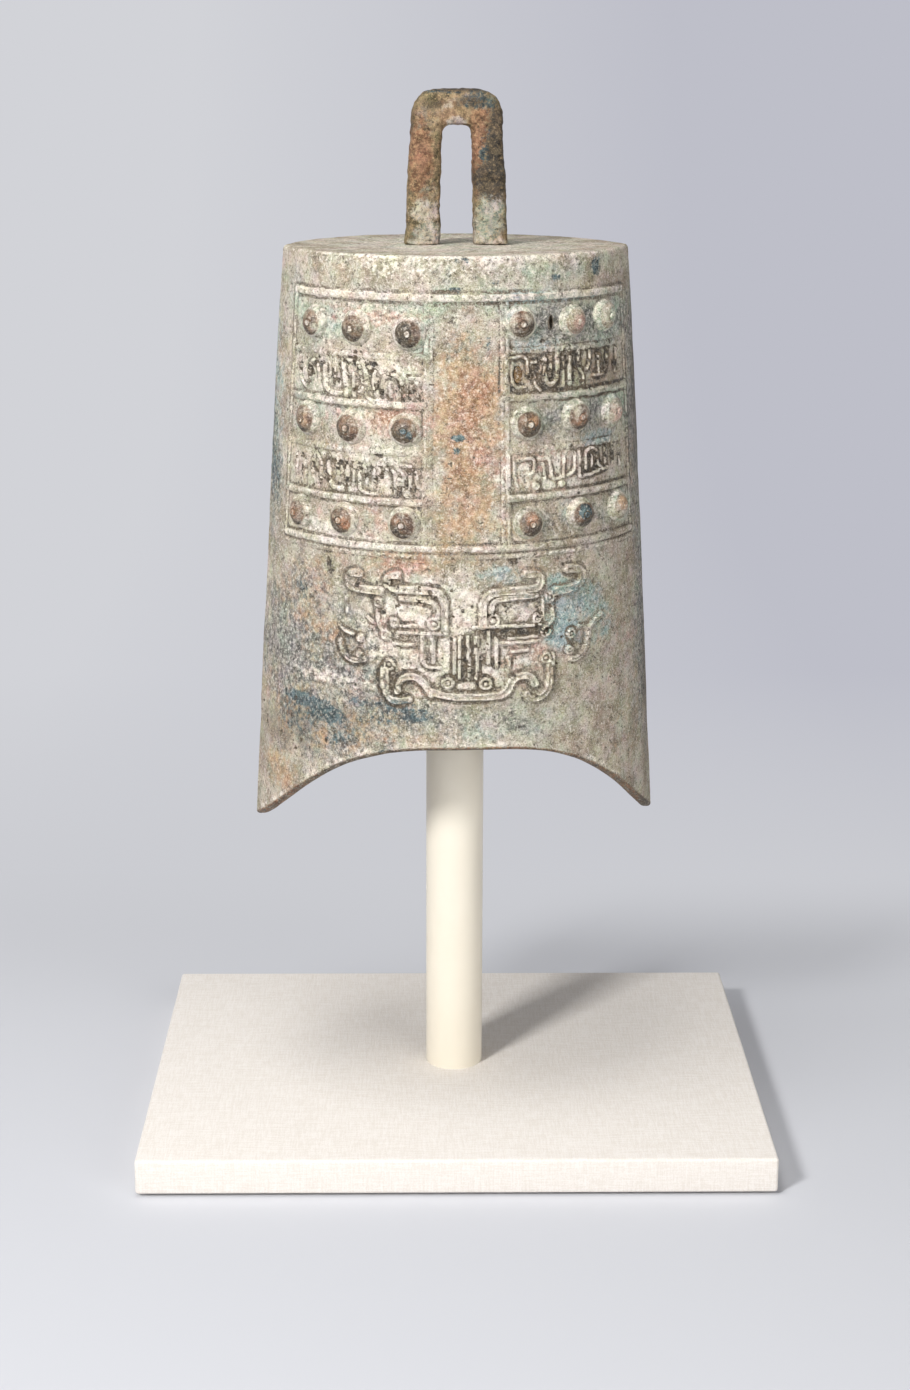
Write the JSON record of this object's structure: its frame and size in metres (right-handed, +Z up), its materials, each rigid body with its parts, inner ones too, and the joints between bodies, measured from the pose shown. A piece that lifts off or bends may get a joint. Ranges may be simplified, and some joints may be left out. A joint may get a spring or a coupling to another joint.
{
  "type": "loop suspension bell",
  "caption": "Cast bronze ritual bell of pointed-oval section with bosses, an arched mouth and a flat suspension loop, carried on a post from inside its crown over a linen-covered board.",
  "frame": {"origin": "middle of the stand's underside, on the surface that it stands on", "axes": "+Z up, +X to the viewer's right, the bell's pictured face towards -Y"},
  "size_m": [0.32, 0.248, 0.535],
  "materials": {
    "bronze_patina": "buried bronze with a matt grey-green and tan crust",
    "loop_bronze": "pitted bronze with ochre and dark blue-green patches",
    "spacer_bronze": "brown bronze",
    "linen": "off-white plain-weave linen",
    "post_paint": "cream satin paint",
    "board_wood": "plain board",
    "plain_steel": "plain steel",
    "stand_felt": "off-white felt"
  },
  "bodies": {
    "stand": {"underside_felt": "stand_felt", "linen_cover": "linen", "board_core": "board_wood", "steel_base": "plain_steel", "base_wood_screw_1": "plain_steel", "base_wood_screw_2": "plain_steel", "base_wood_screw_3": "plain_steel", "base_wood_screw_4": "plain_steel", "post_tube": "post_paint", "post_foot_plug": "plain_steel", "post_foot_screw_1": "plain_steel", "post_foot_screw_2": "plain_steel", "post_foot_screw_3": "plain_steel", "post_head_plug": "plain_steel", "support_plate": "plain_steel", "support_screw_1": "plain_steel", "support_screw_2": "plain_steel", "support_screw_3": "plain_steel", "crown_pad": "stand_felt", "support_edge_strip": "stand_felt"},
    "bell": {"bell_body": "bronze_patina", "suspension_loop": "loop_bronze", "core_spacer": "spacer_bronze"}
  },
  "joints": [
    {"name": "bell_lift", "type": "slide", "parent": "stand", "child": "bell", "axis": [0, 0, 1], "range_m": [0, 0.33]}
  ]
}
